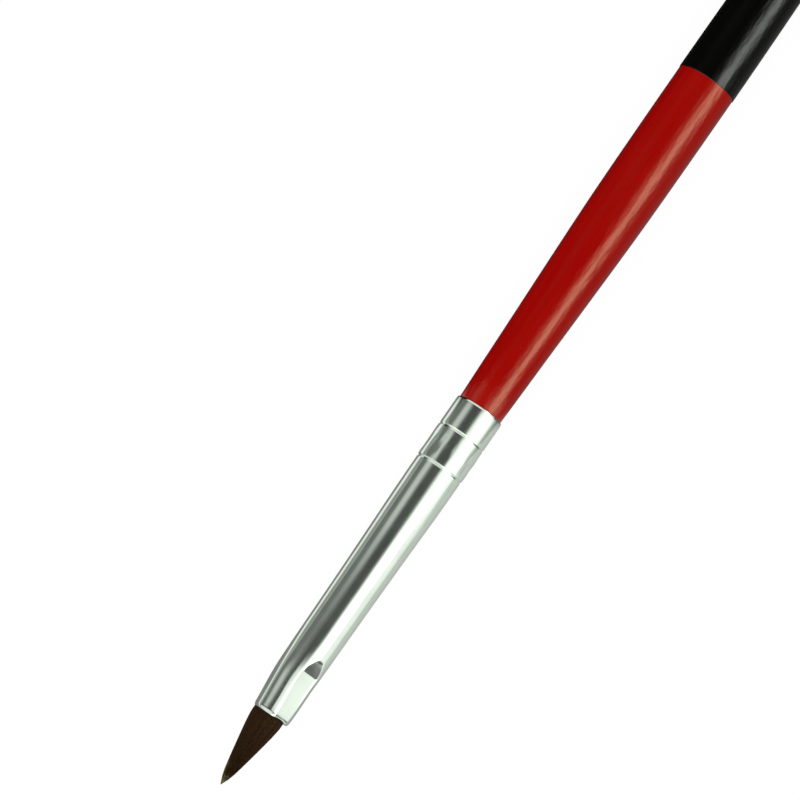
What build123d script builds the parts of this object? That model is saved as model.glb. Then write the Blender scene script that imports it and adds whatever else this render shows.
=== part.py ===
from build123d import *
import os
from math import atan, cos, degrees, tan

# A round, oval-pressed acrylic nail brush, lying on its belly with its axis along X.
# Every outline is drawn beside that axis as (station, radius): the station is the distance
# from the hair's tip towards the tail, in millimetres, and the radius is measured from the axis.

# ---- driving dimensions, in millimetres ----
LENGTH = 180.0  # hair tip to tail
HAIR_LENGTH = 8.65  # hair that shows past the ferrule
FERRULE_LENGTH = 38.1
RED_LENGTH = 41.7  # red lacquer that shows between the ferrule and the black dip

MOUTH_RADIUS = 2.05  # ferrule, outside, at the end that holds the hair
SHOULDER_RADIUS = 2.36  # ferrule, outside, where the drawn-in nose meets the long cone
CONE_RADIUS = 2.66  # ferrule, outside, at the wide end of the cone
COLLAR_RADIUS = 2.71  # ferrule, outside, over the crimped collar
WALL = 0.25  # ferrule sheet
NOSE_LENGTH = 7.6  # mouth to shoulder
NOSE_SLOPE = 0.075  # how fast the nose opens at the mouth
GROOVE_WIDTH = 0.36  # each rolled crimp groove
GROOVE_DEPTH = 0.11
FIRST_GROOVE = 7.4  # crimp groove centres, measured back from the handle's end of the ferrule
SECOND_GROOVE = 3.4

PRESS_ROLL = 35.0  # degrees from straight up that the pressed flats face
PRESS_LENGTH = 5.5  # mouth to the step that ends each flat
PRESS_RAMP = 1.9  # the half-moon ramp behind the step
PRESS_DEPTH_AT_MOUTH = 0.12
PRESS_DEPTH_AT_STEP = 0.20
PRESS_STEP_RADIUS = 2.31  # ferrule, outside, at the step
PRESS_CLEAR = 0.05  # how far past the outside the ramp runs out

HAIR_RADIUS = 1.79  # tuft at the mouth
HAIR_MIDDLE = (4.0, 1.09)  # station and radius halfway up the tuft
HAIR_ROOT = 11.5  # hair that is set inside the ferrule
WAIST_RADIUS = 1.80  # hair where the thread ties it
THREAD = 0.24  # thread thickness
THREAD_TURNS = 7
THREAD_PITCH = 0.27
THREAD_GAP = 0.02
WAIST_TO_BUTTS = 2.1  # middle of the tied waist to the butt ends of the hair
RESIN_LENGTH = 3.2

TENON_LENGTH = 12.0
GLUE = 0.06  # glue film between the tenon and the ferrule
TENON_CHAMFER = 0.4

NECK_RADIUS = 2.51  # lacquered handle at the ferrule
NECK_SLOPE = 0.03
SWELL = (20.5, 3.12)  # distance behind the ferrule, radius
BELLY = (42.0, 3.30)
TAPER = (88.0, 2.68)
TAIL_RADIUS = 1.75
TAIL_SLOPE = 0.022
RED_COAT = 0.12
BLACK_DIP = 0.06
DIP_EDGE_ROUND = 0.05
RIM_ROUND = 0.06  # softened edges of the ferrule's two ends

# ---- stations worked out from them ----
MOUTH = HAIR_LENGTH
JOINT = MOUTH + FERRULE_LENGTH
SHOULDER = MOUTH + NOSE_LENGTH
GROOVES = (JOINT - FIRST_GROOVE, JOINT - SECOND_GROOVE)
DIP_EDGE = JOINT + RED_LENGTH
ROOT_END = MOUTH + HAIR_ROOT
RESIN_END = ROOT_END + RESIN_LENGTH
WOUND_LENGTH = THREAD_TURNS * THREAD_PITCH
WAIST_LENGTH = WOUND_LENGTH + 2 * THREAD
WAIST_MIDDLE = ROOT_END - WAIST_TO_BUTTS
TENON_START = JOINT - TENON_LENGTH
TAIL_ANGLE = atan(TAIL_SLOPE)
DIP_TAIL_RADIUS = TAIL_RADIUS + BLACK_DIP
DOME_START = LENGTH - DIP_TAIL_RADIUS / cos(TAIL_ANGLE) + DIP_TAIL_RADIUS * tan(TAIL_ANGLE)

# ---- the frame: the lowest point of the belly rests on Z = 0, X = 0 is halfway along ----
AXIS_HEIGHT = BELLY[1] + BLACK_DIP
TIP = (-LENGTH / 2, 0, AXIS_HEIGHT)
SIDE = Plane(origin=TIP, x_dir=(1, 0, 0), z_dir=(0, -1, 0))
BRUSH_AXIS = Axis(TIP, (1, 0, 0))
PRESS_PLANE = SIDE.rotated((-PRESS_ROLL, 0, 0))
FAR = 4.0  # a radius outside every piece


def across(station):
    """The plane square to the axis at a station, facing the tail."""
    return Plane(origin=(TIP[0] + station, 0, AXIS_HEIGHT), z_dir=(1, 0, 0))


def groove(station, radius_before, radius_after):
    """A rolled groove with soft shoulders. It starts and ends level with the tube beside it."""
    half = GROOVE_WIDTH / 2
    bottom = min(radius_before, radius_after) - GROOVE_DEPTH
    Spline(
        (station - half, radius_before),
        (station, bottom),
        (station + half, radius_after),
        tangents=[(1, 0), (1, 0)],
    )


def ferrule_outline(inset):
    """The ferrule from mouth to joint, inset from its outside: nose, cone, then the collar."""
    mouth = (MOUTH, MOUTH_RADIUS - inset)
    shoulder = (SHOULDER, SHOULDER_RADIUS - inset)
    cone, collar = CONE_RADIUS - inset, COLLAR_RADIUS - inset
    first, second = GROOVES
    half = GROOVE_WIDTH / 2
    cone_slope = (CONE_RADIUS - SHOULDER_RADIUS) / (first - half - SHOULDER)
    Spline(mouth, shoulder, tangents=[(1, NOSE_SLOPE), (1, cone_slope)])
    Line(shoulder, (first - half, cone))
    groove(first, cone, collar)
    Line((first + half, collar), (second - half, collar))
    groove(second, collar, collar)
    Line((second + half, collar), (JOINT, collar))
    Polyline(mouth, (MOUTH, 0), (JOINT, 0), (JOINT, collar))


def pressing_jaws(inset):
    """The two jaws that press the nose, one each side, at an inset from the ferrule's outside.

    Each jaw leaves a flat that leans in towards the mouth, and a short ramp ends it at the step.
    """
    at_mouth = MOUTH_RADIUS - PRESS_DEPTH_AT_MOUTH - inset
    at_step = PRESS_STEP_RADIUS - PRESS_DEPTH_AT_STEP - inset
    lean = (at_step - at_mouth) / PRESS_LENGTH
    step = MOUTH + PRESS_LENGTH
    ramp_end = step + PRESS_RAMP
    with BuildPart() as jaws:
        for side in (1, -1):
            with BuildSketch(PRESS_PLANE):
                with BuildLine():
                    Polyline(
                        (0, side * (at_mouth - lean * MOUTH)),
                        (step, side * at_step),
                        (ramp_end, side * (SHOULDER_RADIUS + PRESS_CLEAR - inset)),
                        (ramp_end, side * FAR),
                        (0, side * FAR),
                        close=True,
                    )
                make_face()
            extrude(amount=FAR, both=True)
    return jaws.part


def inside_ferrule(inset):
    """Solid that fills the ferrule's outside shape, inset by a distance, with both flats pressed."""
    with BuildPart() as solid:
        with BuildSketch(SIDE):
            with BuildLine():
                ferrule_outline(inset)
            make_face()
        revolve(axis=BRUSH_AXIS)
        add(pressing_jaws(inset), mode=Mode.SUBTRACT)
    return solid.part


def handle_shape(grow):
    """Solid of the handle behind the joint, grown from the red lacquer's surface."""
    neck = (JOINT, NECK_RADIUS + grow)
    swell = (JOINT + SWELL[0], SWELL[1] + grow)
    belly = (JOINT + BELLY[0], BELLY[1] + grow)
    taper = (JOINT + TAPER[0], TAPER[1] + grow)
    tail = (DOME_START, TAIL_RADIUS + grow)
    dome_centre = DOME_START - tail[1] * tan(TAIL_ANGLE)
    dome_radius = tail[1] / cos(TAIL_ANGLE)
    with BuildPart() as solid:
        with BuildSketch(SIDE):
            with BuildLine():
                Spline(neck, swell, belly, tangents=[(1, NECK_SLOPE), (1, 0)])
                Spline(belly, taper, tail, tangents=[(1, 0), (1, -TAIL_SLOPE)])
                CenterArc((dome_centre, 0), dome_radius, 0, 90 - degrees(TAIL_ANGLE))
                Polyline((dome_centre + dome_radius, 0), (JOINT, 0), neck)
            make_face()
        revolve(axis=BRUSH_AXIS)
    return solid.part


# ---- wooden core: the turned handle and the tenon that the ferrule is crimped on ----
with BuildPart() as handle_core:
    add(inside_ferrule(WALL + GLUE))
    split(bisect_by=across(TENON_START), keep=Keep.TOP)
    chamfer(handle_core.edges().sort_by(Axis.X)[0], TENON_CHAMFER)
    add(handle_shape(-RED_COAT))
handle_core.part.label = "handle_core"

# ---- red lacquer: one coat over the whole handle behind the ferrule ----
with BuildPart() as red_lacquer_coat:
    add(handle_shape(0))
    add(handle_shape(-RED_COAT), mode=Mode.SUBTRACT)
red_lacquer_coat.part.label = "red_lacquer_coat"

# ---- black dip: a second coat over the red, from the dip line to the tail ----
with BuildPart() as black_dip_coat:
    add(handle_shape(BLACK_DIP))
    split(bisect_by=across(DIP_EDGE), keep=Keep.TOP)
    dip_rim = black_dip_coat.edges().group_by(Axis.X)[0].sort_by(SortBy.LENGTH)[-1]
    fillet(dip_rim, DIP_EDGE_ROUND)
    add(handle_shape(0), mode=Mode.SUBTRACT)
black_dip_coat.part.label = "black_dip_coat"

# ---- ferrule: a drawn aluminium tube, crimped on the tenon and pressed flat-sided on the hair ----
with BuildPart() as ferrule:
    add(inside_ferrule(0))
    add(inside_ferrule(WALL), mode=Mode.SUBTRACT)
    fillet(ferrule.edges().group_by(Axis.X)[-1].sort_by(SortBy.LENGTH)[-1], RIM_ROUND)
ferrule.part.label = "ferrule"

# ---- hair: a pointed tuft whose root fills the pressed bore and narrows where it is tied ----
with BuildPart() as bristle_tuft:
    with BuildSketch(SIDE):
        with BuildLine():
            Spline((0, 0), HAIR_MIDDLE, (MOUTH, HAIR_RADIUS))
            Polyline((MOUTH, HAIR_RADIUS), (MOUTH, 0), (0, 0))
        make_face()
    revolve(axis=BRUSH_AXIS)
    add(inside_ferrule(WALL))
    split(bisect_by=across(ROOT_END), keep=Keep.BOTTOM)
    add(pressing_jaws(WALL), mode=Mode.SUBTRACT)
    with BuildSketch(SIDE):
        with Locations((WAIST_MIDDLE, (WAIST_RADIUS + FAR) / 2)):
            Rectangle(WAIST_LENGTH, FAR - WAIST_RADIUS)
    revolve(axis=BRUSH_AXIS, mode=Mode.SUBTRACT)
bristle_tuft.part.label = "bristle_tuft"

# ---- binding thread: one length wound round the waist of the hair ----
with BuildPart() as binding_thread:
    with BuildLine() as winding:
        Helix(
            pitch=THREAD_PITCH,
            height=WOUND_LENGTH,
            radius=WAIST_RADIUS + THREAD_GAP + THREAD / 2,
            center=(TIP[0] + WAIST_MIDDLE - WOUND_LENGTH / 2, 0, AXIS_HEIGHT),
            direction=(1, 0, 0),
        )
    with BuildSketch(Plane(origin=winding.line @ 0, z_dir=winding.line % 0)):
        Circle(THREAD / 2)
    sweep(path=winding.line, is_frenet=True)
binding_thread.part.label = "binding_thread"

# ---- setting resin: the plug that holds the butt ends of the hair in the bore ----
with BuildPart() as setting_resin:
    add(inside_ferrule(WALL))
    split(bisect_by=across(ROOT_END), keep=Keep.TOP)
    split(bisect_by=across(RESIN_END), keep=Keep.BOTTOM)
setting_resin.part.label = "setting_resin"

# ---- tenon glue: the thin sleeve between the tenon and the ferrule's bore ----
with BuildPart() as tenon_glue:
    add(inside_ferrule(WALL))
    add(inside_ferrule(WALL + GLUE), mode=Mode.SUBTRACT)
    split(bisect_by=across(TENON_START), keep=Keep.TOP)
tenon_glue.part.label = "tenon_glue"

# ---- write one file per piece ----
os.makedirs("parts", exist_ok=True)
PIECES = (
    handle_core,
    red_lacquer_coat,
    black_dip_coat,
    ferrule,
    bristle_tuft,
    binding_thread,
    setting_resin,
    tenon_glue,
)
for piece in PIECES:
    export_step(piece.part, f"parts/{piece.part.label}.step")
    print(piece.part.label, "volume", round(piece.part.volume, 2), "valid", piece.part.is_valid)
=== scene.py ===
# %% [markdown]
# # A round acrylic nail brush
# This lesson builds the looks of a small round brush: a tuft of dark hair, a polished aluminium ferrule,
# and a slim wooden handle in red lacquer with a black dipped tail. The CAD model is loaded first. It gives
# the true sizes, and everything made here is placed by it.

# %% Load the CAD model
import random
from math import atan2, cos, degrees, exp, pi, radians, sin, sqrt

import bpy
import numpy as np
from mathutils import Matrix, Vector


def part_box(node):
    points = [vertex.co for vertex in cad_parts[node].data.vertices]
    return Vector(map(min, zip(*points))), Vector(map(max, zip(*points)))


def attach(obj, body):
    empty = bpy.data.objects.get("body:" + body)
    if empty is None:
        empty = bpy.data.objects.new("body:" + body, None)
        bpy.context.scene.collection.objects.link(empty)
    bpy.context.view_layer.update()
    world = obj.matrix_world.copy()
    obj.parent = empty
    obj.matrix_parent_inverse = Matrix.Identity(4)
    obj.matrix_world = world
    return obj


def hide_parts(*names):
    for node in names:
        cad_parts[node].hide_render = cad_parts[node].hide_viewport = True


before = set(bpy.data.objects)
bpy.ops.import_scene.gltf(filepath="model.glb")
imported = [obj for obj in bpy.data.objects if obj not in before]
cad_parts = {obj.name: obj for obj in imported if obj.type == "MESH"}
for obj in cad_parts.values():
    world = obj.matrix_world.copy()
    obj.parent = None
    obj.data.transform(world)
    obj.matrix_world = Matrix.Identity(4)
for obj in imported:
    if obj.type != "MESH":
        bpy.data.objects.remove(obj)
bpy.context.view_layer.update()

print("CAD nodes:", sorted(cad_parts))

# %% [markdown]
# ## Where things are
# The brush lies along X with the hair's tip at the low end. Every piece is round about one axis, so a piece
# is known by its two ends along X and by its radius. Those are read from the boxes of the CAD nodes.

# %% Measure the CAD nodes
MM = 0.001


def ends(node):
    """The lowest and highest X of a CAD node."""
    low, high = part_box(node)
    return low.x, high.x


TIP, HAIR_ROOT = ends("bristle_tuft")
MOUTH, JOINT = ends("ferrule")
DIP, TAIL = ends("black_dip_coat")
black_low, black_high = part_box("black_dip_coat")
ferrule_low, ferrule_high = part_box("ferrule")
red_low, red_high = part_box("red_lacquer_coat")
AXIS_Z = (black_low.z + black_high.z) / 2
COLLAR_RADIUS = (ferrule_high.z - ferrule_low.z) / 2
BELLY_RADIUS = (red_high.z - red_low.z) / 2
BLACK_DIP = (black_high.z - black_low.z) / 2 - BELLY_RADIUS
RED_COAT = 0.12 * MM
SHEET = 0.25 * MM
print("the hair shows for", round((MOUTH - TIP) / MM, 2), "mm")
print("the ferrule is", round((JOINT - MOUTH) / MM, 2), "mm long")
print("the axis is", round(AXIS_Z / MM, 3), "mm above the table")
print("the collar's radius is", round(COLLAR_RADIUS / MM, 3), "mm")

# %% [markdown]
# ## Turning a piece
# Almost everything on a brush is turned or drawn, so it is round. A maker draws half of the outline and
# spins it. Here the outline is a Bezier curve, one point for each change of shape. Each point is an X, a
# radius and the slope of the outline there, and the handles are set from the slopes, so that a run between
# two equal slopes is straight and a quarter turn is nearly a true arc. The Screw modifier then spins it
# about the brush's axis.

# %% Draw an outline and turn it
MERGE_DISTANCE = 1e-7


def deselect_all():
    if bpy.context.object and bpy.context.object.mode != "OBJECT":
        bpy.ops.object.mode_set(mode="OBJECT")
    bpy.ops.object.select_all(action="DESELECT")


def slope_between(before, here, after):
    """The slope of a smooth outline at its middle point, from the runs on each side of it."""
    run_in, run_out = here[0] - before[0], after[0] - here[0]
    slope_in, slope_out = (here[1] - before[1]) / run_in, (after[1] - here[1]) / run_out
    return (slope_in * run_out + slope_out * run_in) / (run_in + run_out)


def draw_outline(points, steps):
    """A curve through (x, radius, angle) points. An angle of None is worked out from the points beside it."""
    deselect_all()
    bpy.ops.curve.primitive_bezier_curve_add(location=(0, 0, AXIS_Z))
    outline = bpy.context.object
    outline.data.resolution_u = steps
    knots = outline.data.splines[0].bezier_points
    knots.add(len(points) - len(knots))
    angles = []
    for i, (x, radius, angle) in enumerate(points):
        if angle is None:
            angle = degrees(atan2(slope_between(points[i - 1], points[i], points[i + 1]), 1))
        angles.append(radians(angle))
        knots[i].handle_left_type = knots[i].handle_right_type = "FREE"
        knots[i].co = (x, 0, radius)
        knots[i].handle_left = knots[i].handle_right = (x, 0, radius)
    for i in range(len(points) - 1):
        start, end = knots[i].co, knots[i + 1].co
        reach = (end - start).length / (3 * cos((angles[i + 1] - angles[i]) / 4) ** 2)
        knots[i].handle_right = start + reach * Vector((cos(angles[i]), 0, sin(angles[i])))
        knots[i + 1].handle_left = end - reach * Vector((cos(angles[i + 1]), 0, sin(angles[i + 1])))
    bpy.ops.object.convert(target="MESH")
    return bpy.context.object


def turn(name, points, sides=144, steps=12):
    """Spins an outline about the brush's axis and leaves one smooth mesh with its place in its vertices."""
    piece = draw_outline(points, steps)
    piece.name = piece.data.name = name
    spin = piece.modifiers.new("turn", "SCREW")
    spin.axis = "X"
    spin.angle = 2 * pi
    spin.steps = spin.render_steps = sides
    spin.use_merge_vertices = True
    spin.merge_threshold = MERGE_DISTANCE
    bpy.ops.object.modifier_apply(modifier=spin.name)
    bpy.ops.object.transform_apply(location=True, rotation=True, scale=True)
    bpy.ops.object.mode_set(mode="EDIT")
    bpy.ops.mesh.select_all(action="SELECT")
    bpy.ops.mesh.remove_doubles(threshold=MERGE_DISTANCE)
    bpy.ops.mesh.normals_make_consistent(inside=False)
    bpy.ops.object.mode_set(mode="OBJECT")
    bpy.ops.object.shade_smooth()
    return piece


# %% [markdown]
# ## Walls, edges and hand-over
# A turned outside is only a skin. Solidify gives it a wall, and a narrow Bevel rounds the edges where the
# wall was cut, limited by angle so that the long smooth faces are left alone. A finished piece is then
# parented to an empty for the brush, and the CAD nodes it stands for are hidden.

# %% Thicken a shell, round its cut ends and hand it over
CUT_EDGE_ANGLE = radians(60)


def apply_modifiers(piece):
    deselect_all()
    piece.select_set(True)
    bpy.context.view_layer.objects.active = piece
    for modifier in list(piece.modifiers):
        bpy.ops.object.modifier_apply(modifier=modifier.name)


def faces_out(piece):
    """True when the shell's faces point away from the axis on average."""
    outwards = 0.0
    for face in piece.data.polygons:
        from_axis = face.center - Vector((face.center.x, 0, AXIS_Z))
        outwards += face.area * face.normal.dot(from_axis)
    return outwards > 0


def give_thickness(piece, thickness):
    """Thickens a shell inwards, so that its outside stays where it was drawn."""
    if not faces_out(piece):
        piece.data.flip_normals()
    wall = piece.modifiers.new("wall", "SOLIDIFY")
    wall.thickness = thickness
    wall.offset = -1
    wall.use_even_offset = True
    apply_modifiers(piece)


def round_cut_ends(piece, width):
    """Rounds the sharp edges where a shell was cut, and leaves the rest smooth."""
    edges = piece.modifiers.new("cut ends", "BEVEL")
    edges.width = width
    edges.segments = 3
    edges.limit_method = "ANGLE"
    edges.angle_limit = CUT_EDGE_ANGLE
    apply_modifiers(piece)
    bpy.ops.object.shade_smooth()


def report(piece):
    piece.data.update()
    triangles = sum(len(face.vertices) - 2 for face in piece.data.polygons)
    print(piece.name, "has", triangles, "triangles")


def belongs(piece, slot, *nodes):
    """The finished piece rides on the brush, and the CAD nodes it stands for are hidden. The slot is not
    used.
    """
    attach(piece, "root")
    if nodes:
        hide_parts(*nodes)
    report(piece)


# %% [markdown]
# ## The ferrule's tube
# A ferrule is one piece of drawn aluminium tube. It narrows in a long cone towards the hair, and near the
# handle two grooves are rolled into it to bite on the wooden tenon. The outline has the nose, the cone, the
# collar and the two grooves, and its two ends are rolled in a little. Only the outside is turned first,
# because the pressing comes before the wall.

# %% Turn the ferrule's outside
GROOVE_HALF = 0.19 * MM
GROOVE_DEPTH = 0.075 * MM
FIRST_GROOVE = JOINT - 7.4 * MM
SECOND_GROOVE = JOINT - 3.4 * MM
CONE_RADIUS = COLLAR_RADIUS - 0.05 * MM
ROLLED_FROM, ROLLED_BREAK = JOINT - 0.19 * MM, JOINT - 0.16 * MM
BREAK_DROP, END_DROP = 0.006 * MM, 0.07 * MM


def groove(centre, before, after):
    """Three points of a rolled groove: level shoulders and a level bottom."""
    bottom = min(before, after) - GROOVE_DEPTH
    return [(centre - GROOVE_HALF, before, 0), (centre, bottom, 0), (centre + GROOVE_HALF, after, 0)]


rolled_mouth = [(0.0, 1.93, 45), (0.22, 2.057, 20), (0.36, 2.09, 5), (0.8, 2.12, 4)]
nose = [(1.6, 2.16), (2.5, 2.205), (3.5, 2.25), (4.5, 2.285), (5.5, 2.315), (6.5, 2.335), (7.6, 2.355)]
cone = [(12.0, 2.40), (17.0, 2.46), (22.0, 2.545), (27.0, 2.635), (29.5, 2.66)]
from_mouth = rolled_mouth + [(x, radius, None) for x, radius in nose + cone]
ferrule_outline = [(MOUTH + x * MM, radius * MM, angle) for x, radius, angle in from_mouth]
ferrule_outline += groove(FIRST_GROOVE, CONE_RADIUS, COLLAR_RADIUS)
ferrule_outline += groove(SECOND_GROOVE, COLLAR_RADIUS, COLLAR_RADIUS)
ferrule_outline += [(ROLLED_FROM, COLLAR_RADIUS, 0)]
ferrule_outline += [(ROLLED_BREAK, COLLAR_RADIUS - BREAK_DROP, -19)]
ferrule_outline += [(JOINT, COLLAR_RADIUS - END_DROP, -24)]
ferrule_tube = turn("ferrule_tube", ferrule_outline, sides=200, steps=8)

# %% [markdown]
# ## Pressing the nose
# After the hair is glued in, a jaw presses each side of the nose. It leaves a flat from the mouth to a
# straight crease, and behind the crease the metal ramps out again in a half-moon. The metal round the jaw
# gives way too, in a wider and softer flat. All are pushed in with a Displace modifier along the normals.
# How far each point goes is painted as weights, worked out here from the jaw's shape.

# %% Paint and press the two flats
PRESS_ROLLS = (37, 37 + 180)
CREASE = MOUTH + 5.5 * MM
FLAT_DEPTH = 0.29 * MM
FLAT_AT_MOUTH = 0.5
MOON_LENGTH, MOON_END = 1.92 * MM, 0.20 * MM
MOON_FALL = 0.141
JAW_HALF_ANGLE, JAW_EDGE = 25, 7
SOFT_DEPTH = 0.16 * MM
SOFT_DEPTH_AT_MOUTH = 0.12 * MM
SOFT_HALF_ANGLE = 55
UNTOUCHED_ANGLE = 75
SOFT_DEEPEST, SOFT_END = MOUTH + 3.6 * MM, MOUTH + 9.8 * MM
DEEPEST = 0.55 * MM


def roll_of(point):
    """The direction of a point from the axis, in degrees from straight up towards -Y."""
    return degrees(atan2(-point.y, point.z - AXIS_Z))


def angle_apart(a, b):
    return (a - b + 180) % 360 - 180


def smooth(value):
    """Eases from nought to one."""
    value = max(0.0, min(1.0, value))
    return value * value * (3 - 2 * value)


def press_depth(point, roll):
    """How deep a jaw facing a roll direction pushes a point of the nose."""
    radius = sqrt(point.y**2 + (point.z - AXIS_Z) ** 2)
    apart = angle_apart(roll_of(point), roll)
    if abs(apart) > UNTOUCHED_ANGLE or point.x > SOFT_END:
        return 0.0
    to_deepest = smooth((point.x - MOUTH) / (SOFT_DEEPEST - MOUTH))
    middle = SOFT_DEPTH_AT_MOUTH + (SOFT_DEPTH - SOFT_DEPTH_AT_MOUTH) * to_deepest
    middle *= 1 - smooth((point.x - SOFT_DEEPEST) / (SOFT_END - SOFT_DEEPEST))
    soft = middle * cos(radians(90 * min(1.0, abs(apart) / SOFT_HALF_ANGLE))) ** 2
    if point.x < CREASE:
        flat = FLAT_DEPTH * (FLAT_AT_MOUTH + (1 - FLAT_AT_MOUTH) * (point.x - MOUTH) / (CREASE - MOUTH))
    else:
        behind = point.x - CREASE
        flat = FLAT_DEPTH - MOON_FALL * behind
        flat *= 1 - smooth(1 + (behind - MOON_LENGTH) / MOON_END)
    if flat <= 0:
        return soft
    jaw_face = (radius - middle - flat) / cos(radians(apart))
    deeper = max(0.0, radius - jaw_face - soft)
    return soft + deeper * (1 - smooth((abs(apart) - JAW_HALF_ANGLE) / JAW_EDGE))


def paint(piece, group_name, weight_of, limit=1e-4):
    """Paints a vertex group with a weight worked out for each point."""
    group = piece.vertex_groups.new(name=group_name)
    count = 0
    for vertex in piece.data.vertices:
        weight = weight_of(vertex.co)
        if weight > limit:
            group.add([vertex.index], min(1.0, weight), "REPLACE")
            count += 1
    print(group_name, "painted on", count, "points")


def press_weight(point):
    return max(press_depth(point, roll) for roll in PRESS_ROLLS) / DEEPEST


def push_in(piece, group_name, depth):
    """Pushes the points of a vertex group inwards, as far as their weights say."""
    push = piece.modifiers.new(group_name, "DISPLACE")
    push.vertex_group = group_name
    push.mid_level = 0
    push.strength = -depth


paint(ferrule_tube, "pressed", press_weight)
if not faces_out(ferrule_tube):
    ferrule_tube.data.flip_normals()
push_in(ferrule_tube, "pressed", DEEPEST)
apply_modifiers(ferrule_tube)

# %% [markdown]
# ## Hand work in the metal
# A ferrule is never perfect: the crimping rolls dent the collar a little between the grooves, one dent is
# deeper than the rest, and the long cone waves slightly. Displace modifiers make them all: soft cloud
# textures move the shallow dents and the waves, and a painted weight in the shape of a bell pushes in the
# deep one.

# %% Dent the collar and wave the cone
CRIMP_DENT_SIZE, CRIMP_DENT_DEPTH = 0.9 * MM, 0.10 * MM
WAVE_SIZE, WAVE_DEPTH = 4 * MM, 0.022 * MM
DENTS_FADE = 0.7 * MM
HOLLOW_X, HOLLOW_ROLL, HOLLOW_WIDTH = JOINT - 6.3 * MM, -38, 0.55 * MM
HOLLOW_DEPTH = 0.08 * MM


def dent(piece, name, size, strength, group_name=""):
    """Moves a piece's points in and out by soft noise, all of them or those of one vertex group."""
    texture = bpy.data.textures.new(name, "CLOUDS")
    texture.noise_scale = size
    texture.noise_depth = 1
    bump = piece.modifiers.new(name, "DISPLACE")
    bump.texture = texture
    bump.texture_coords = "LOCAL"
    bump.mid_level = 0.5
    bump.strength = strength
    bump.vertex_group = group_name


def between_grooves(point):
    """One between the two grooves, fading to nothing before each of them."""
    inside = min(point.x - FIRST_GROOVE, SECOND_GROOVE - point.x) - GROOVE_HALF
    return min(1.0, max(0.0, inside / DENTS_FADE))


def hollow(point):
    """One at the middle of the deepest dent, fading like a bell round it."""
    across = COLLAR_RADIUS * radians(angle_apart(roll_of(point), HOLLOW_ROLL))
    apart = sqrt((point.x - HOLLOW_X) ** 2 + across**2) / HOLLOW_WIDTH
    return exp(-apart * apart / 2) * between_grooves(point)


paint(ferrule_tube, "crimped", between_grooves)
paint(ferrule_tube, "hollow", hollow)
dent(ferrule_tube, "crimp_dents", CRIMP_DENT_SIZE, CRIMP_DENT_DEPTH, "crimped")
dent(ferrule_tube, "sheet_waves", WAVE_SIZE, WAVE_DEPTH)
push_in(ferrule_tube, "hollow", HOLLOW_DEPTH)
apply_modifiers(ferrule_tube)

# %% [markdown]
# ## The mouth out of line
# The pressing also pushes the mouth a little to one side. Only the ring of points at the mouth is selected
# and moved. Proportional editing takes the points behind it along, less and less, so that the tube bends
# smoothly.

# %% Shift the mouth
MOUTH_RING = MOUTH + 0.05 * MM
MOUTH_SHIFT = -0.20 * MM
SHIFT_REACH = 5 * MM
bpy.ops.object.mode_set(mode="EDIT")
bpy.ops.mesh.select_all(action="DESELECT")
bpy.ops.object.mode_set(mode="OBJECT")
for vertex in ferrule_tube.data.vertices:
    vertex.select = vertex.co.x < MOUTH_RING
print("points in the mouth's ring:", sum(vertex.select for vertex in ferrule_tube.data.vertices))
bpy.ops.object.mode_set(mode="EDIT")
bpy.ops.transform.translate(
    value=(0, MOUTH_SHIFT, 0),
    use_proportional_edit=True,
    proportional_edit_falloff="SMOOTH",
    proportional_size=SHIFT_REACH,
)
bpy.ops.object.mode_set(mode="OBJECT")

# %% [markdown]
# ## The ferrule's wall
# Now that the outside has its shape, the sheet gets its thickness inwards. Thickening before the pressing
# would have crushed the bore unevenly. The two cut ends are deburred on the real tube, so their edges are
# rounded.

# %% Thicken the ferrule and round its cut ends
give_thickness(ferrule_tube, SHEET)
round_cut_ends(ferrule_tube, 0.04 * MM)
belongs(ferrule_tube, "ferrule_aluminium", "ferrule")

# %% [markdown]
# ## The red coat
# The whole handle behind the ferrule is dipped in red lacquer. It starts a little narrower than the
# ferrule, swells to the belly where the fingers hold it, and tapers to a round tail. It is turned as a
# shell, and gets the coat's thickness inwards, over the wooden core.

# %% Turn the red coat
TAIL_RADIUS = 1.75 * MM
TAIL_ANGLE = -1.26
TAIL_SLACK = 0.04 * MM


def handle_outline(start, grow):
    """The handle's outside from a start to the tail, grown by a coat's thickness, with a round end."""
    neck = [(0.0, 2.51, 1.7), (3.3, 2.61, None), (8.2, 2.745, None)]
    swell = [(15.6, 2.965, None), (25.4, 3.215, None), (33.0, 3.282, None)]
    belly_and_taper = [(42.0, 3.30, 0), (60.0, 3.16, None), (88.0, 2.68, None)]
    shape = neck + swell + belly_and_taper
    points = [(JOINT + x * MM, radius * MM + grow, angle) for x, radius, angle in shape]
    dome_radius = TAIL_RADIUS + grow
    dome = TAIL - BLACK_DIP - TAIL_RADIUS + TAIL_SLACK
    points += [(dome, dome_radius, TAIL_ANGLE)]
    points += [(dome + dome_radius * sin(radians(45)), dome_radius * cos(radians(45)), -45)]
    points += [(dome + dome_radius, 0, -90)]
    return [p for p in points if p[0] >= start]


red_coat = turn("red_coat", handle_outline(JOINT, 0), sides=144, steps=12)
give_thickness(red_coat, RED_COAT)
round_cut_ends(red_coat, 0.05 * MM)
belongs(red_coat, "red_lacquer", "red_lacquer_coat")

# %% [markdown]
# ## The black dip
# The tail is dipped again, in black. The coat is thin, and where it ends its edge is drawn into a rounded
# lip by the lacquer's surface tension. The outline starts on the red coat and climbs over that lip.

# %% Turn the black coat
LIP_GAP, LIP_LENGTH = 0.004 * MM, 0.09 * MM
NEAR_DIP = 0.8 * MM
DIP_SHARE = 0.95


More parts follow.
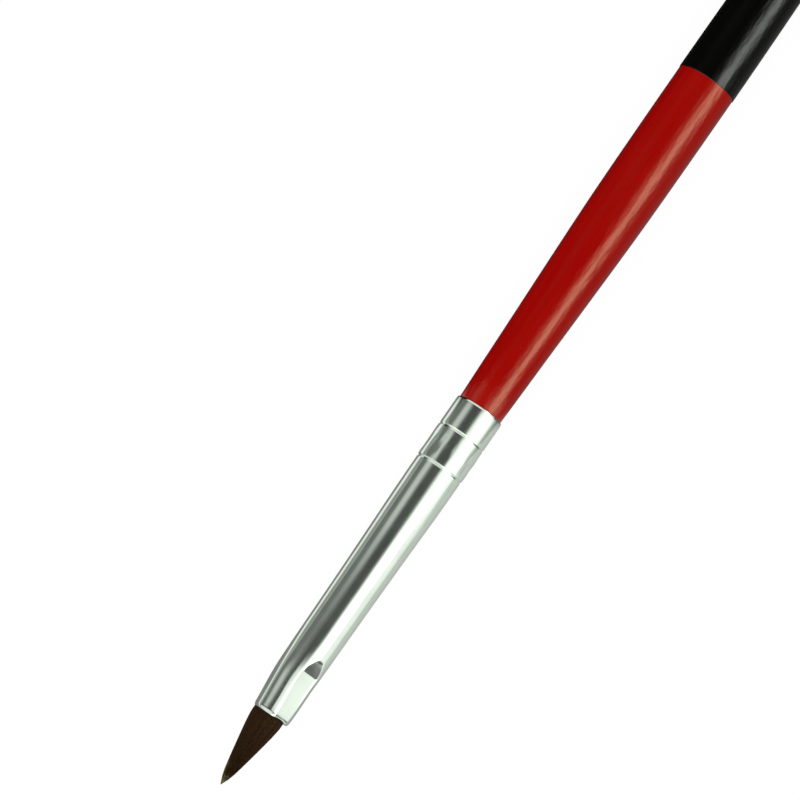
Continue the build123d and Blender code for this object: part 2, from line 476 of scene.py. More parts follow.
def radius_of_red(x):
    """The red coat's outside radius at an X, measured on the finished mesh."""
    near = [v.co for v in red_coat.data.vertices if abs(v.co.x - x) < NEAR_DIP]
    return max(sqrt(co.y**2 + (co.z - AXIS_Z) ** 2) for co in near)


lip = radius_of_red(DIP)
print("the red coat's radius at the dip line is", round(lip / MM, 3), "mm")
black_outline = [(DIP, lip + LIP_GAP, 80), (DIP + LIP_LENGTH, lip + BLACK_DIP, 0)]
black_outline += handle_outline(DIP + 1 * MM, BLACK_DIP)
black_coat = turn("black_coat", black_outline, sides=144, steps=12)
give_thickness(black_coat, BLACK_DIP * DIP_SHARE)
belongs(black_coat, "black_lacquer", "black_dip_coat")

# %% [markdown]
# ## The body of the hair
# A tuft is thousands of hairs, tied, glued and set in the ferrule. Behind the outer layers nothing but a
# dark mass is seen, so one turned body fills the middle, from just inside the point down to the butt ends.

# %% Turn the body of the hair
HAIR_OUTLINE_X = [0.0, 0.3, 0.8, 1.5, 3.1, 4.3, 5.5, 7.0, 8.0, 8.35, 8.65, 10.5]
HAIR_OUTLINE_RADIUS = [0.03, 0.17, 0.38, 0.60, 0.93, 1.16, 1.38, 1.64, 1.76, 1.765, 1.70, 1.72]


def hair_envelope(x):
    """The radius of the tuft at an X: a full, slightly rounded cone that comes to a point."""
    return float(np.interp((x - TIP) / MM, HAIR_OUTLINE_X, HAIR_OUTLINE_RADIUS)) * MM


BODY_DEPTH = 0.11 * MM
BODY_POINT = TIP + 1.1 * MM
BODY_STATIONS = [TIP + x * MM for x in (1.8, 3.1, 4.3, 5.5, 7.0, 8.0)]
body_points = [(BODY_POINT, 0.0, 70)]
body_points += [(x, hair_envelope(x) - BODY_DEPTH, None) for x in BODY_STATIONS]
body_points += [(MOUTH, 1.60 * MM, 0), (MOUTH + 6 * MM, 1.75 * MM, 2), (HAIR_ROOT, 1.8 * MM, 0)]
body_points += [(HAIR_ROOT + 0.01 * MM, 0.0, -90)]
hair_body = turn("hair_body", body_points, sides=64, steps=8)
belongs(hair_body, "dark_hair", "bristle_tuft")

# %% [markdown]
# ## The hairs
# The outer hairs are real strands. A hair is a thin spike that tapers to its tip, so one is modelled from a
# four-sided cone. It is cut across into short lengths by Bisect, so that it can follow a curve later.

# %% Model one hair
HAIR_THICKNESS = 0.062 * MM
HAIR_JOINTS = 11
deselect_all()
bpy.ops.mesh.primitive_cone_add(vertices=4, radius1=1, radius2=0.12, depth=1, location=(0, 0, 0.5))
one_hair = bpy.context.object
bpy.ops.object.transform_apply(location=True)
bpy.ops.object.mode_set(mode="EDIT")
for i in range(1, HAIR_JOINTS):
    bpy.ops.mesh.select_all(action="SELECT")
    bpy.ops.mesh.bisect(plane_co=(0, 0, i / HAIR_JOINTS), plane_no=(0, 0, 1))
bpy.ops.object.mode_set(mode="OBJECT")
HAIR_POINTS = np.array([vertex.co for vertex in one_hair.data.vertices])
HAIR_FACES = [list(face.vertices) for face in one_hair.data.polygons]
bpy.data.objects.remove(one_hair)
print("one hair has", len(HAIR_FACES), "faces")

# %% [markdown]
# ## The tuft
# The hair is now copied many times. Each copy starts inside the mouth, follows the tuft's outline in
# towards the point and ends a little before it, so that the long ones make the point and the short ones the
# fullness. Most hairs lie near the outside, because only those are seen. Every hair keeps a shade of its
# own in an attribute.

# %% Lay the hairs into the tuft
HAIR_COUNT = 2200
LEAN_ROUND = 0.05
THINNER_AT_TIP = 0.75
TUFT_SHIFT = 0.04 * MM
DEEPEST_HAIR, SHORTEST_OUTER, SHORTEST_INNER = 0.35, 0.52, 0.2
OUTER_LAYER = 0.8
START_FROM, START_TO = 0.4 * MM, 0.8 * MM
rng = random.Random(7)


def lay_hair(side, depth, length, start):
    """The points of one hair: its side of the tuft in radians, depth from 0 at the axis to 1, and length."""
    placed = np.empty_like(HAIR_POINTS)
    lean = rng.uniform(-LEAN_ROUND, LEAN_ROUND)
    for i, (px, py, along) in enumerate(HAIR_POINTS):
        x = start - along * length
        radius = depth * hair_envelope(x)
        turn_to = side + lean * along
        thick = HAIR_THICKNESS / 2 * (1 - THINNER_AT_TIP * along**2)
        out, across = radius - thick + thick * px, thick * py
        y = out * cos(turn_to) - across * sin(turn_to)
        z = out * sin(turn_to) + across * cos(turn_to)
        placed[i] = (x, y, z)
    placed[:, 1] -= TUFT_SHIFT
    placed[:, 2] += AXIS_Z
    return placed


def comb_hairs(name, count):
    """One mesh with all the hairs, each at a random side, depth and length."""
    points, faces, shades = [], [], []
    for hair in range(count):
        depth = 1 - DEEPEST_HAIR * rng.random() ** 2.2
        side = rng.uniform(0, 2 * pi)
        start = MOUTH + rng.uniform(START_FROM, START_TO)
        if depth > OUTER_LAYER:
            reach = 1 - SHORTEST_OUTER * rng.random() ** 2.6
        else:
            reach = 1 - SHORTEST_INNER * rng.random()
        points.append(lay_hair(side, depth, (start - TIP) * reach, start))
        base = hair * len(HAIR_POINTS)
        faces += [[base + corner for corner in face] for face in HAIR_FACES]
        shades.append(rng.random())
    mesh = bpy.data.meshes.new(name)
    mesh.from_pydata(np.vstack(points).tolist(), [], faces)
    shade = mesh.attributes.new("strand", "FLOAT", "POINT")
    shade.data.foreach_set("value", np.repeat(shades, len(HAIR_POINTS)))
    piece = bpy.data.objects.new(name, mesh)
    bpy.context.collection.objects.link(piece)
    mesh.polygons.foreach_set("use_smooth", [True] * len(mesh.polygons))
    return piece


hair_strands = comb_hairs("hair_strands", HAIR_COUNT)
belongs(hair_strands, "dark_hair")

# %% [markdown]
# ## Finishes
# Two effects are shared by several finishes, so each is a node group. Long streaks are noise stretched
# along the brush: wood grain, draw lines in metal and brush marks in lacquer. Specks are small pits and
# dust.

# %% Node groups that finishes share
def link(tree, source, target):
    tree.links.new(source, target)


def maths(tree, operation, a, b=None):
    """A Math node. Each value is a number or another node's output."""
    node = tree.nodes.new("ShaderNodeMath")
    node.operation = operation
    for value, socket in zip((a, b), node.inputs):
        if isinstance(value, (int, float)):
            socket.default_value = value
        elif value is not None:
            link(tree, value, socket)
    return node.outputs[0]


def separate(tree, vector):
    parts = tree.nodes.new("ShaderNodeSeparateXYZ")
    link(tree, vector, parts.inputs[0])
    return parts.outputs


def new_group(name, inputs, outputs):
    """An empty node group with float inputs and outputs. Inputs are (name, value)."""
    group = bpy.data.node_groups.new(name, "ShaderNodeTree")
    for label, value in inputs:
        socket = group.interface.new_socket(label, in_out="INPUT", socket_type="NodeSocketFloat")
        socket.default_value = value
    for label in outputs:
        group.interface.new_socket(label, in_out="OUTPUT", socket_type="NodeSocketFloat")
    return group, group.nodes.new("NodeGroupInput"), group.nodes.new("NodeGroupOutput")


def make_long_streaks():
    """Noise stretched along X, in Object coordinates. Scale is in streaks per metre across the piece."""
    inputs = [("Scale", 2000.0), ("Stretch", 20.0), ("Detail", 3.0)]
    group, ins, outs = new_group("long_streaks", inputs, ["Value"])
    place = group.nodes.new("ShaderNodeTexCoord")
    parts = separate(group, place.outputs["Object"])
    joined = group.nodes.new("ShaderNodeCombineXYZ")
    noise = group.nodes.new("ShaderNodeTexNoise")
    link(group, maths(group, "DIVIDE", parts["X"], ins.outputs["Stretch"]), joined.inputs["X"])
    link(group, parts["Y"], joined.inputs["Y"])
    link(group, parts["Z"], joined.inputs["Z"])
    link(group, joined.outputs[0], noise.inputs["Vector"])
    link(group, ins.outputs["Scale"], noise.inputs["Scale"])
    link(group, ins.outputs["Detail"], noise.inputs["Detail"])
    link(group, noise.outputs["Fac"], outs.inputs["Value"])
    return group


def make_specks():
    """Small round specks, one where a pit is deepest and nought between them."""
    group, ins, outs = new_group("specks", [("Scale", 1500.0), ("Size", 0.12)], ["Value"])
    place = group.nodes.new("ShaderNodeTexCoord")
    cells = group.nodes.new("ShaderNodeTexVoronoi")
    spread = group.nodes.new("ShaderNodeMapRange")
    spread.inputs["To Min"].default_value = 1
    spread.inputs["To Max"].default_value = 0
    link(group, place.outputs["Object"], cells.inputs["Vector"])
    link(group, ins.outputs["Scale"], cells.inputs["Scale"])
    link(group, cells.outputs["Distance"], spread.inputs["Value"])
    link(group, ins.outputs["Size"], spread.inputs["From Max"])
    link(group, spread.outputs["Result"], outs.inputs["Value"])
    return group


LONG_STREAKS = make_long_streaks()
SPECKS = make_specks()
print("node groups:", LONG_STREAKS.name, "and", SPECKS.name)

# %% [markdown]
# ## A finish in a few words
# Every material is the same few moves: some noise, its range spread, a colour ramp, a bump. A small class
# holds one material and gives each move a short name, so that a finish below reads like its recipe.

# %% A class for one finish
class Finish:
    """A material with a Principled shader, and short calls for the nodes that feed it."""

    def __init__(self, name):
        self.material = bpy.data.materials.new(name)
        self.material.use_nodes = True
        self.tree = self.material.node_tree
        self.shader = self.tree.nodes["Principled BSDF"]

    def set(self, **values):
        for label, value in values.items():
            self.shader.inputs[label.replace("_", " ")].default_value = value

    def group(self, group, **values):
        node = self.tree.nodes.new("ShaderNodeGroup")
        node.node_tree = group
        for label, value in values.items():
            node.inputs[label].default_value = value
        return node.outputs["Value"]

    def noise(self, scale, detail=2.0):
        place = self.tree.nodes.new("ShaderNodeTexCoord")
        node = self.tree.nodes.new("ShaderNodeTexNoise")
        node.inputs["Scale"].default_value = scale
        node.inputs["Detail"].default_value = detail
        link(self.tree, place.outputs["Object"], node.inputs["Vector"])
        return node.outputs["Fac"]

    def spread(self, value, low, high, from_low=0.3, from_high=0.7):
        """Maps a value from one range to another."""
        node = self.tree.nodes.new("ShaderNodeMapRange")
        node.inputs["From Min"].default_value = from_low
        node.inputs["From Max"].default_value = from_high
        node.inputs["To Min"].default_value = low
        node.inputs["To Max"].default_value = high
        link(self.tree, value, node.inputs["Value"])
        return node.outputs["Result"]

    def add(self, a, b):
        return maths(self.tree, "ADD", a, b)

    def times(self, a, b):
        return maths(self.tree, "MULTIPLY", a, b)

    def colours(self, factor, *stops):
        """A colour ramp. Stops are (position, colour)."""
        node = self.tree.nodes.new("ShaderNodeValToRGB")
        ramp = node.color_ramp
        while len(ramp.elements) < len(stops):
            ramp.elements.new(0.5)
        for element, (position, colour) in zip(ramp.elements, stops):
            element.position = position
            element.color = (*colour, 1)
        link(self.tree, factor, node.inputs["Fac"])
        return node.outputs["Color"]

    def feed(self, label, output):
        link(self.tree, output, self.shader.inputs[label])

    def bump(self, height, distance):
        node = self.tree.nodes.new("ShaderNodeBump")
        node.inputs["Distance"].default_value = distance
        node.inputs["Strength"].default_value = 1.0
        link(self.tree, height, node.inputs["Height"])
        link(self.tree, node.outputs["Normal"], self.shader.inputs["Normal"])

    def wear(self, piece):
        """The piece wears this finish and no other."""
        piece.data.materials.clear()
        piece.data.materials.append(self.material)
        print(piece.name, "wears", self.material.name)


# %% [markdown]
# ## Lacquer
# Both coats are the same lacquer in two colours. It is glossy, but it was dipped on thinly over wood, so
# the grain shows through as faint long ripples, the gloss varies a little, and there is the odd pit. All
# three heights are added up for one bump. The black is a little less glossy than the red.

# %% Red and black lacquer
RIPPLE = 0.08 * MM
PEEL_SHARE, PIT_DEPTH = 0.6, -0.12


def lacquer(name, deep, light, ior, tint):
    """Lacquer from its deep and light colours, its gloss and the colour of its gloss."""
    finish = Finish(name)
    streaks = finish.group(LONG_STREAKS, Scale=1500.0, Stretch=26.0, Detail=4.0)
    finish.feed("Base Color", finish.colours(streaks, (0.35, deep), (0.72, light)))
    gloss = finish.group(LONG_STREAKS, Scale=900.0, Stretch=9.0, Detail=3.0)
    finish.feed("Roughness", finish.spread(gloss, 0.10, 0.16))
    pits = finish.group(SPECKS, Scale=420.0, Size=0.05)
    waves = finish.group(LONG_STREAKS, Scale=520.0, Stretch=7.0, Detail=3.0)
    peel = finish.group(LONG_STREAKS, Scale=1600.0, Stretch=3.2, Detail=3.0)
    height = finish.add(waves, finish.times(peel, PEEL_SHARE))
    height = finish.add(height, finish.times(pits, PIT_DEPTH))
    finish.bump(height, RIPPLE)
    finish.set(IOR=ior, Specular_Tint=(*tint, 1))
    return finish


DEEP_RED, LIGHT_RED = (0.335, 0.0002, 0.0), (0.375, 0.0008, 0.0001)
DEEP_BLACK, LIGHT_BLACK = (0.0016, 0.0016, 0.0010), (0.0028, 0.0030, 0.0020)
lacquer("red_lacquer", DEEP_RED, LIGHT_RED, ior=1.60, tint=(1.0, 0.80, 0.52)).wear(red_coat)
lacquer("black_lacquer", DEEP_BLACK, LIGHT_BLACK, ior=1.49, tint=(0.95, 1.0, 0.92)).wear(black_coat)

# %% [markdown]
# ## Aluminium
# The tube was drawn and then polished along its length, so its reflections are clear along the brush and a
# little spread around it. Fine draw lines, rubbed patches and a few nicks break up the gloss.

# %% Polished aluminium
DULL_METAL, CLEAN_METAL = (0.70, 0.79, 0.69), (0.765, 0.86, 0.75)
DRAW_LINE_HEIGHT = 0.0012 * MM
metal = Finish("ferrule_aluminium")
lines = metal.group(LONG_STREAKS, Scale=9000.0, Stretch=60.0, Detail=2.0)
patches = metal.noise(420.0, 3.0)
metal.feed("Base Color", metal.colours(patches, (0.30, DULL_METAL), (0.70, CLEAN_METAL)))
metal.feed("Roughness", metal.add(metal.spread(patches, 0.09, 0.14), metal.spread(lines, 0.0, 0.05)))
nicks = metal.group(SPECKS, Scale=700.0, Size=0.07)
metal.bump(metal.add(lines, metal.times(nicks, -2.0)), DRAW_LINE_HEIGHT)
metal.set(Metallic=1.0)
metal.wear(ferrule_tube)

# %% [markdown]
# ## Hair
# The hair is dyed nearly black-brown, and its fine ends are amber. Each strand has its own shade, read from
# an attribute on the mesh, and the amber begins at a different place on each. On the side that faces the
# light the amber reaches further, a painted highlight.

# %% Dark hair with amber ends
AMBER, DARK_AMBER, BROWN = (0.42, 0.36, 0.11), (0.20, 0.155, 0.030), (0.060, 0.041, 0.008)
DARK, DARK_MIDDLE, DARK_ROOT = (0.029, 0.0130, 0.002), (0.031, 0.0118, 0.0012), (0.031, 0.0125, 0.0014)
HAIR_COLOURS = [(0.0, AMBER), (0.05, DARK_AMBER), (0.11, BROWN)]
HAIR_COLOURS += [(0.19, DARK), (0.60, DARK_MIDDLE), (0.97, DARK_ROOT)]
# painted highlight: how much further the amber reaches on the side that faces the light
LIT_SIDE_PAINTED_AMBER = -0.17
SHADE_SPREAD = 0.035


def hair_finish(name, strand_shades):
    """Hair coloured from its tip to its root, with a painted highlight: more amber on the side that faces the
    light.
    """
    finish = Finish(name)
    place = finish.tree.nodes.new("ShaderNodeTexCoord")
    parts = separate(finish.tree, place.outputs["Object"])
    along = finish.spread(parts["X"], 0.0, 1.0, TIP, MOUTH)
    # painted highlight: the amber reaches further towards the root on the side that faces the light
    side = finish.spread(parts["Y"], 0.0, LIT_SIDE_PAINTED_AMBER, 0.25 * MM, 0.65 * MM)
    if strand_shades:
        own = finish.tree.nodes.new("ShaderNodeAttribute")
        own.attribute_name = "strand"
        shade = own.outputs["Fac"]
    else:
        shade = finish.group(LONG_STREAKS, Scale=6000.0, Stretch=40.0, Detail=2.0)
    own_shift = finish.spread(shade, -SHADE_SPREAD, SHADE_SPREAD, 0.0, 1.0)
    place_of_colour = finish.add(along, finish.add(side, own_shift))
    finish.feed("Base Color", finish.colours(place_of_colour, *HAIR_COLOURS))
    finish.feed("Roughness", finish.spread(shade, 0.40, 0.55, 0.0, 1.0))
    finish.set(Specular_IOR_Level=0.12)
    fine = finish.group(LONG_STREAKS, Scale=14000.0, Stretch=60.0, Detail=1.0)
    finish.bump(fine, 0.004 * MM)
    return finish


hair_finish("hair_strands", True).wear(hair_strands)
hair_finish("hair_body", False).wear(hair_body)

# %% [markdown]
# ## What the ferrule hides
# The turned wood, the thread round the hair's root, the resin behind it and the glue on the tenon are CAD
# nodes whose shapes are right. They keep their meshes and get finishes of their own.

# %% Wood, thread, resin and glue
wood = Finish("turned_wood")
grain = wood.group(LONG_STREAKS, Scale=1800.0, Stretch=18.0, Detail=5.0)
wood_stops = [(0.3, (0.50, 0.33, 0.19)), (0.5, (0.66, 0.47, 0.29)), (0.7, (0.74, 0.57, 0.38))]
wood.feed("Base Color", wood.colours(grain, *wood_stops))
wood.feed("Roughness", wood.spread(grain, 0.55, 0.75))
wood.bump(grain, 0.03 * MM)
wood.wear(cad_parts["handle_core"])

thread = Finish("undyed_thread")
fibres = thread.noise(9000.0, 4.0)
thread.feed("Base Color", thread.colours(fibres, (0.35, (0.60, 0.54, 0.42)), (0.65, (0.82, 0.78, 0.66))))
thread.feed("Roughness", thread.spread(fibres, 0.75, 0.95))
thread.bump(fibres, 0.02 * MM)
thread.wear(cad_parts["binding_thread"])

resin = Finish("set_resin")
cloudy = resin.noise(900.0, 3.0)
resin.feed("Base Color", resin.colours(cloudy, (0.3, (0.42, 0.25, 0.08)), (0.7, (0.62, 0.44, 0.20))))
resin.feed("Roughness", resin.spread(cloudy, 0.15, 0.30))
resin.bump(cloudy, 0.02 * MM)
resin.wear(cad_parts["setting_resin"])

glue = Finish("dried_glue")
blotches = glue.noise(1400.0, 3.0)
glue.feed("Base Color", glue.colours(blotches, (0.3, (0.70, 0.64, 0.48)), (0.7, (0.86, 0.82, 0.68))))
glue.feed("Roughness", glue.spread(blotches, 0.30, 0.50))
glue.bump(blotches, 0.02 * MM)
glue.wear(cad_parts["tenon_glue"])

# %% [markdown]
# ## Building light from nodes
# The table, the studio and the tent are all drawn with a few of the same nodes: products, eased ranges and
# ramps from level to level. These short calls add them to any node tree. What one level hides,
# `rest_of_one` turns into what it leaves, so a light can be kept where another is faded out.

# %% Short calls for light nodes
GLOSS_RAY = "Is Glossy Ray"


def times(tree, a, b):
    return maths(tree, "MULTIPLY", a, b)


def rest_of_one(tree, value):
    return maths(tree, "SUBTRACT", 1.0, value)


def eased(tree, value, from_low, from_high):
    """Nought below one value, one above another, eased between."""
    node = tree.nodes.new("ShaderNodeMapRange")
    node.interpolation_type = "SMOOTHSTEP"
    node.inputs["From Min"].default_value = from_low
    node.inputs["From Max"].default_value = from_high
    link(tree, value, node.inputs["Value"])
    return node.outputs["Result"]


def fading(tree, value, from_low, from_high):
    """One below one value, nought above another, eased between."""
    return rest_of_one(tree, eased(tree, value, from_low, from_high))


def levels(tree, value, low, high, stops):
    """A grey level for each value. Stops are (value, level) in rising order."""
    brightest = max(level for _, level in stops)
    place = tree.nodes.new("ShaderNodeMapRange")
    place.inputs["From Min"].default_value = low
    place.inputs["From Max"].default_value = high
    ramp = tree.nodes.new("ShaderNodeValToRGB")
    elements = ramp.color_ramp.elements
    while len(elements) < len(stops):
        elements.new(0.5)
    for element, (at, level) in zip(elements, stops):
        element.position = (at - low) / (high - low)
        element.color = (level / brightest, level / brightest, level / brightest, 1)
    link(tree, value, place.inputs["Value"])
    link(tree, place.outputs["Result"], ramp.inputs["Fac"])
    return times(tree, ramp.outputs["Color"], brightest)


def round_levels(tree, angle, stops):
    """A grey level for each angle round the brush, from -180 to 180 degrees."""
    return levels(tree, angle, -180, 180, stops)


def angle_round_x(tree, y, z):
    """Degrees round the X axis, from straight up towards -Y."""
    turned = maths(tree, "ARCTAN2", times(tree, y, -1.0), z)
    return times(tree, turned, degrees(1))


def plain_tree(owner):
    """The owner's node tree, emptied."""
    owner.use_nodes = True
    owner.node_tree.nodes.clear()
    return owner.node_tree


def object_place(tree):
    """The X, Y and Z of the shaded point in Object coordinates."""
    return separate(tree, tree.nodes.new("ShaderNodeTexCoord").outputs["Object"])


# %% [markdown]
# ## The floor
# The brush lies on a plain white table. It is lit from inside a little, as a light table is, so that it
# stays white and the brush throws only a breath of shadow. What the gloss shows of the table is dimmer and
# painted: a glow level for each distance aside of the brush, one set for the metal with a painted shadow
# along the brush and a painted bright band on one side, and one for the lacquer with painted shade on one
# side. Near the mouth, where the tube is narrow, the metal's set is stretched a little. The paint itself
# is hidden from gloss.

# %% A white table
TABLE_SIZE = 4
GLOSS_REACH = 30
# Gloss-only glow levels aside of the brush, in millimetres: for the metal a painted shadow along the brush
# and a painted bright band on one side, for the lacquer painted shade on one side
METAL_GLOSS_PAINTED_SHADOW_AND_BAND = [(-30, 0.51), (-21, 0.56), (-17, 0.74), (-9, 0.63), (-5, 0.56), (0, 0.25)]
METAL_GLOSS_PAINTED_SHADOW_AND_BAND += [(6, 0.25), (8, 1.05), (10.5, 1.05), (13, 0.4), (24, 0.25)]
LACQUER_GLOSS_PAINTED_SHADE = [(-30, 0.14), (-8, 0.18), (-4, 0.17), (0, 0.02), (24, 0.01)]
NARROWER = 0.5
NEAR_MOUTH = (MOUTH + 3 * MM, MOUTH + 11 * MM)
METAL_TO_LACQUER = (JOINT - 0.5 * MM, JOINT + 2.5 * MM)
PAINT_WHITENESS = 0.07
TO_CAMERA, TO_DIFFUSE = 0.945, 0.5


def level_aside(tree, aside, stops):
    """A level for each distance aside of the brush. Stops are in millimetres."""
    return levels(tree, aside, -GLOSS_REACH * MM, GLOSS_REACH * MM, [(y * MM, level) for y, level in stops])


deselect_all()
bpy.ops.mesh.primitive_plane_add(size=TABLE_SIZE, location=(0, 0, 0))
table = bpy.context.object
table.name = "table"
table_finish = bpy.data.materials.new("white_table")
tree = plain_tree(table_finish)
out = tree.nodes.new("ShaderNodeOutputMaterial")
seen = tree.nodes.new("ShaderNodeAddShader")
paint_white = tree.nodes.new("ShaderNodeBsdfDiffuse")
glow = tree.nodes.new("ShaderNodeEmission")
rays = tree.nodes.new("ShaderNodeLightPath").outputs
parts = object_place(tree)

narrower = rest_of_one(tree, times(tree, fading(tree, parts["X"], *NEAR_MOUTH), NARROWER))
# painted shadow and painted bright band, seen only in the metal's gloss
metal_painted_shadow_and_band = level_aside(tree, times(tree, parts["Y"], narrower), METAL_GLOSS_PAINTED_SHADOW_AND_BAND)
# painted shade on one side, seen only in the lacquer's gloss
lacquer_painted_shade = level_aside(tree, parts["Y"], LACQUER_GLOSS_PAINTED_SHADE)
keep_metal = times(tree, metal_painted_shadow_and_band, fading(tree, parts["X"], *METAL_TO_LACQUER))
keep_lacquer = times(tree, lacquer_painted_shade, eased(tree, parts["X"], *METAL_TO_LACQUER))
painted_gloss_glow = maths(tree, "ADD", keep_metal, keep_lacquer)

painted = times(tree, rest_of_one(tree, rays[GLOSS_RAY]), PAINT_WHITENESS)
glow_level = times(tree, rays["Is Camera Ray"], TO_CAMERA)
glow_level = maths(tree, "ADD", glow_level, times(tree, rays[GLOSS_RAY], painted_gloss_glow))
glow_level = maths(tree, "ADD", glow_level, times(tree, rays["Is Diffuse Ray"], TO_DIFFUSE))
link(tree, painted, paint_white.inputs["Color"])
link(tree, glow_level, glow.inputs["Strength"])
link(tree, paint_white.outputs[0], seen.inputs[0])
link(tree, glow.outputs[0], seen.inputs[1])
link(tree, seen.outputs[0], out.inputs["Surface"])
table.data.materials.append(table_finish)
print("the table is", TABLE_SIZE, "m square, with", len(tree.nodes), "nodes in its finish")

# %% [markdown]
# ## The light
# A studio of white paper lights the brush evenly, and one long soft box hangs above it on one side. The box
# is what the gloss shows, so it is described by where it is: its angle round the brush, and how far along
# the brush it leans before it ends. Past its end the room is dark up to the next box, and far enough along
# there is white paper all round. On the side away from the box, metal that faces nearly up sees the dark
# room, and metal that leans along the brush sees paper. All angles are in degrees.

# %% A paper studio with one long soft box
SOFT_BOX = [(-180, 0.0), (-70, 0.0), (-50, 0.04), (-35, 0.0), (4, 0.0), (12, 0.12), (18, 0.42)]
SOFT_BOX += [(25, 0.9), (33, 2.0), (43, 3.8), (53, 3.3), (62, 1.15), (72, 0.36), (85, 0.12)]
SOFT_BOX += [(97, 0.12), (180, 0.14)]
BOX_SIDE = (-2, 14)
BOX_END, NEXT_BOX = (-12.5, -9.5), (-27, -23)
PAPER_BELOW, PAPER_ABOVE, PAPER_ALL_ROUND = (11, 17), (19, 26), (24, 30)
PAST_THE_BOX = 0.11
PAPER_IN_GLOSS = 0.9


def eased_lean(tree, way_x, lean):
    """Eased between two leans along the brush, in degrees."""
    return eased(tree, way_x, *[sin(radians(angle)) for angle in lean])


def white_background(tree):
    background = tree.nodes.new("ShaderNodeBackground")
    background.inputs["Color"].default_value = (1, 1, 1, 1)
    return background


world = bpy.data.worlds.new("paper_studio")
bpy.context.scene.world = world
world.cycles.sampling_method = "NONE"
tree = plain_tree(world)
way = separate(tree, tree.nodes.new("ShaderNodeTexCoord").outputs["Generated"])
round_brush = angle_round_x(tree, way["Y"], way["Z"])
room_light = round_levels(tree, round_brush, SOFT_BOX)

lit = rest_of_one(tree, eased_lean(tree, way["X"], NEXT_BOX))
lit = maths(tree, "MAXIMUM", eased_lean(tree, way["X"], BOX_END), lit)
box_light = times(tree, maths(tree, "SUBTRACT", room_light, PAST_THE_BOX), lit)
box_light = maths(tree, "ADD", box_light, PAST_THE_BOX)

backwards = times(tree, way["X"], -1.0)
leaning = eased_lean(tree, backwards, PAPER_BELOW)
leaning = maths(tree, "MAXIMUM", leaning, eased_lean(tree, way["X"], PAPER_ABOVE))
paper_light = maths(tree, "ADD", room_light, times(tree, leaning, PAPER_IN_GLOSS))

box_light = times(tree, box_light, eased(tree, round_brush, *BOX_SIDE))
paper_light = times(tree, paper_light, fading(tree, round_brush, *BOX_SIDE))
gloss_light = maths(tree, "ADD", box_light, paper_light)
all_round = eased_lean(tree, maths(tree, "ABSOLUTE", way["X"]), PAPER_ALL_ROUND)
gloss_light = maths(tree, "MAXIMUM", gloss_light, times(tree, all_round, PAPER_IN_GLOSS))

paper, box = white_background(tree), white_background(tree)
link(tree, gloss_light, box.inputs["Strength"])
which = tree.nodes.new("ShaderNodeLightPath")
mixed = tree.nodes.new("ShaderNodeMixShader")
out = tree.nodes.new("ShaderNodeOutputWorld")
link(tree, which.outputs[GLOSS_RAY], mixed.inputs["Fac"])
link(tree, paper.outputs[0], mixed.inputs[1])
link(tree, box.outputs[0], mixed.inputs[2])
link(tree, mixed.outputs[0], out.inputs["Surface"])
print("the studio has", len(tree.nodes), "nodes")

# %% [markdown]
# ## A tent for the metal
# Polished metal shows a room far too plainly, so it is often shot in a small tent of thin white cloth. A
# thin cylinder stands round the ferrule and glows more or less round its sides. Light passes through it,
# the camera doesn't see it, and only the gloss of the metal shows it.

# %% Stand the tent round the ferrule
TENT_RADIUS = 30 * MM
TENT_START, TENT_END = MOUTH - 3.0 * MM, JOINT + 4.7 * MM
deselect_all()
bpy.ops.mesh.primitive_cylinder_add(
    vertices=256,
    radius=TENT_RADIUS,
    depth=TENT_END - TENT_START,
    end_fill_type="NOTHING",
    location=((TENT_START + TENT_END) / 2, 0, AXIS_Z),
    rotation=(0, pi / 2, 0),
)
tent = bpy.context.object
bpy.ops.object.transform_apply(location=True, rotation=True, scale=True)
bpy.ops.object.shade_smooth()
tent.name = "light_tent"
tent.visible_camera = tent.visible_diffuse = tent.visible_shadow = tent.visible_transmission = False
print("the tent is", round((TENT_END - TENT_START) / MM, 1), "mm long")

# %% [markdown]
# ## The tent's cloth
# The cloth's light is a level for each angle round the brush. Three things change it along the brush. The
# bands turn a little towards the joint, where the tube is wider. A narrow streak on the far side shows at the
# nose and again from the cone to the joint. And there is more light on top near the nose. A dark flap hangs
# in front of the mouth, so that the half-moon behind the pressed flat reflects it and stays dark.

# %% Light the tent's cloth
CLOTH = [(-180, 0.16), (-65, 0.18), (-54, 0.19), (-40, 0.18), (-30, 0.14), (-22, 0.095), (-12, 0.08)]
CLOTH += [(2, 0.09), (9, 0.13), (15, 0.5), (20, 0.85), (27, 0.45), (33, 0.1), (60, 0.12)]
CLOTH += [(69, 0.65), (76, 0.95), (85, 0.9), (92, 0.35), (100, 0.3)]
STREAK = [(-180, 0.0), (-64, 0.0), (-54, 0.38), (-42, 0.44), (-26, 0.0), (180, 0.0)]
NOSE_LIGHT = [(-180, 0.0), (-13, 0.0), (-5, 1.0), (22, 1.0), (34, 0.0), (180, 0.0)]
BAND_TURNS, BANDS_TURN_FROM = 6, MOUTH + 18 * MM
NOSE_TURNS = 8
NOSE_LIGHT_ENDS = (MOUTH + 4 * MM, MOUTH + 8 * MM)
NOSE_STREAK_ENDS = (MOUTH + 3 * MM, MOUTH + 7 * MM)
STREAK_GROWS = (MOUTH + 10 * MM, MOUTH + 30 * MM)
CLOTH_FADES = (TENT_END - 0.6 * MM, TENT_END)
FLAP_EDGE = (MOUTH - 0.5 * MM, MOUTH + 0.1 * MM)
FLAP_SIDE = (44, 54)

tent_cloth = bpy.data.materials.new("tent_cloth")
tree = plain_tree(tent_cloth)
parts = object_place(tree)
height = maths(tree, "SUBTRACT", parts["Z"], AXIS_Z)
turned = times(tree, eased(tree, parts["X"], BANDS_TURN_FROM, JOINT), BAND_TURNS)
round_tent = maths(tree, "ADD", angle_round_x(tree, parts["Y"], height), turned)

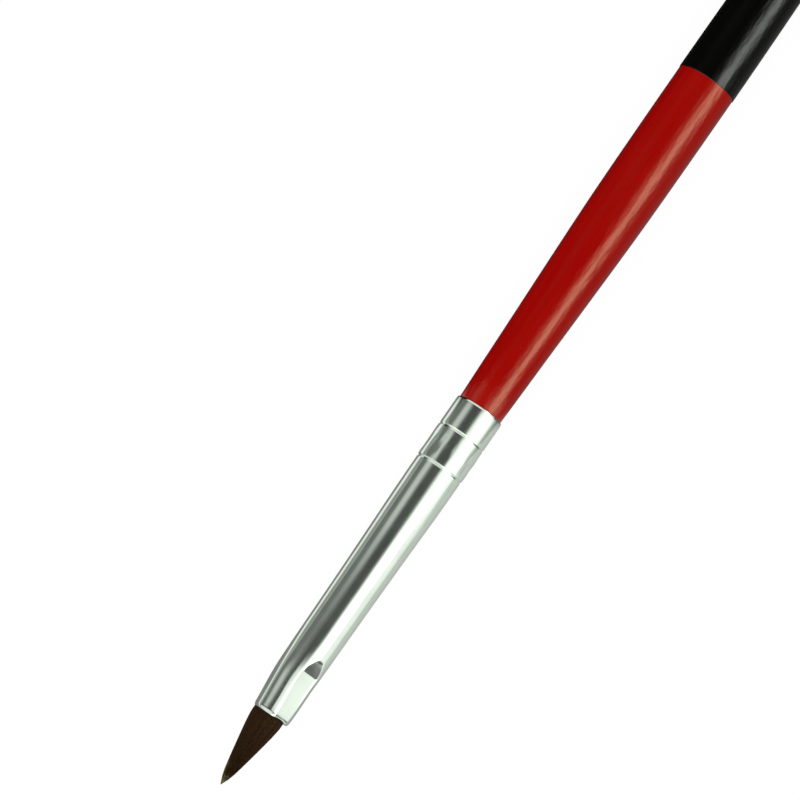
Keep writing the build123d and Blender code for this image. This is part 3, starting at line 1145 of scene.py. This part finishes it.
near_nose = fading(tree, parts["X"], *NOSE_LIGHT_ENDS)
nose_light = times(tree, near_nose, round_levels(tree, round_tent, NOSE_LIGHT))
cloth = maths(tree, "MAXIMUM", round_levels(tree, round_tent, CLOTH), nose_light)

nose_streak = fading(tree, parts["X"], *NOSE_STREAK_ENDS)
streak_grows = maths(tree, "MAXIMUM", nose_streak, eased(tree, parts["X"], *STREAK_GROWS))
streak_at = maths(tree, "ADD", round_tent, times(tree, near_nose, NOSE_TURNS))
streak = times(tree, round_levels(tree, streak_at, STREAK), streak_grows)

flap = times(tree, fading(tree, parts["X"], *FLAP_EDGE), eased(tree, round_tent, *FLAP_SIDE))
cloth_light = times(tree, maths(tree, "ADD", cloth, streak), fading(tree, parts["X"], *CLOTH_FADES))
cloth_light = times(tree, cloth_light, rest_of_one(tree, flap))

thin = tree.nodes.new("ShaderNodeBsdfTransparent")
lit_cloth = tree.nodes.new("ShaderNodeEmission")
both = tree.nodes.new("ShaderNodeAddShader")
out = tree.nodes.new("ShaderNodeOutputMaterial")
link(tree, cloth_light, lit_cloth.inputs["Strength"])
link(tree, thin.outputs[0], both.inputs[0])
link(tree, lit_cloth.outputs[0], both.inputs[1])
link(tree, both.outputs[0], out.inputs["Surface"])
tent.data.materials.append(tent_cloth)
print("the cloth has", len(tree.nodes), "nodes")

# %% [markdown]
# ## The camera
# The brush is seen from above through a long lens, turned so that it climbs from the bottom left to the top
# right and leaves the frame at its tail. The camera is placed by one point of the brush, the second groove:
# where that point falls in the frame, how the brush is turned there, and how far its tail leans away.

# %% Place the camera
FRAME_SIZE = 800
SENSOR_WIDTH = 36
FOCAL = 4200
DISTANCE = 433 * MM
CLIMB = radians(55.13)
LEAN = radians(6.5)
GROOVE_AT = (61.1, -37.1)
along = Vector((cos(LEAN) * cos(CLIMB), cos(LEAN) * sin(CLIMB), -sin(LEAN)))
left = Vector((-sin(CLIMB), cos(CLIMB), 0))
up = along.cross(left)
to_camera = Matrix((along, left, up)).transposed()
place_in_view = Vector((GROOVE_AT[0], GROOVE_AT[1], -FOCAL)) * (DISTANCE / FOCAL)
groove_point = Vector((SECOND_GROOVE, 0, AXIS_Z))
to_world = to_camera.transposed()
camera_data = bpy.data.cameras.new("camera")
camera_data.sensor_width = SENSOR_WIDTH
camera_data.lens = FOCAL / FRAME_SIZE * SENSOR_WIDTH
camera_data.clip_start = 0.01
camera_data.clip_end = 20
camera = bpy.data.objects.new("camera", camera_data)
bpy.context.collection.objects.link(camera)
camera.matrix_world = Matrix.Translation(groove_point - to_world @ place_in_view) @ to_world.to_4x4()
bpy.context.scene.camera = camera
bpy.context.scene.view_settings.view_transform = "Standard"
print("camera at", [round(v, 4) for v in camera.matrix_world.translation])
